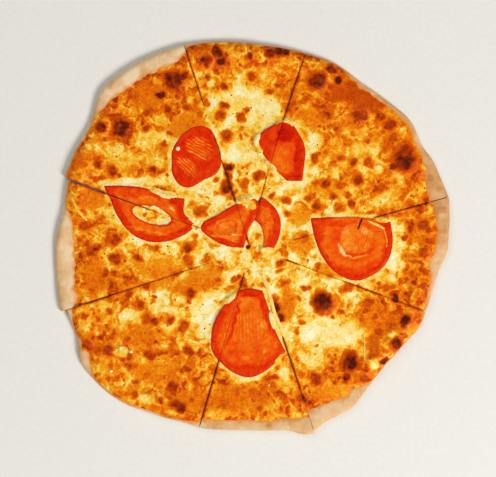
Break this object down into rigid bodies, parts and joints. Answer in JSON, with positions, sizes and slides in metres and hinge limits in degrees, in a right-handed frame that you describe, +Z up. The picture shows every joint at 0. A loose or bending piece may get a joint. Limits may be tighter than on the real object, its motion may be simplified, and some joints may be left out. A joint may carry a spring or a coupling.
{
  "type": "cheese pizza",
  "caption": "Thin round pizza with browned cheese and baked tomato slices, knife-cut into wedges that still lie together.",
  "frame": {"origin": "on the table, under the middle of the box round the pizza's outline", "axes": "+Z up out of the cheese, +X to the right and +Y to the top of the pizza as seen from above"},
  "size_m": [0.3004, 0.2992, 0.0098],
  "materials": {
    "dough": "dry floury baked dough, matt, with toasted spots",
    "cheese": "melted cheese, oily, browned in blisters and pale in pools",
    "tomato": "baked tomato flesh with a wet sheen and a deeper red skin"
  },
  "bodies": {
    "root": {"crust_1": "dough", "crust_2": "dough", "crust_3": "dough", "crust_4": "dough", "crust_5": "dough", "crust_6": "dough", "crust_7": "dough", "crust_8": "dough", "cheese_1": "cheese", "cheese_2": "cheese", "cheese_3": "cheese", "cheese_4": "cheese", "cheese_5": "cheese", "cheese_6": "cheese", "cheese_7": "cheese", "cheese_8": "cheese", "tomato_bottom_main": "tomato", "tomato_bottom_strip": "tomato", "tomato_crescent": "tomato", "tomato_left_band": "tomato", "tomato_left_ring": "tomato", "tomato_middle_main": "tomato", "tomato_middle_tip": "tomato", "tomato_right": "tomato", "tomato_upper_left": "tomato", "tomato_upper_right_main": "tomato", "tomato_upper_right_tip": "tomato"}
  },
  "joints": []
}
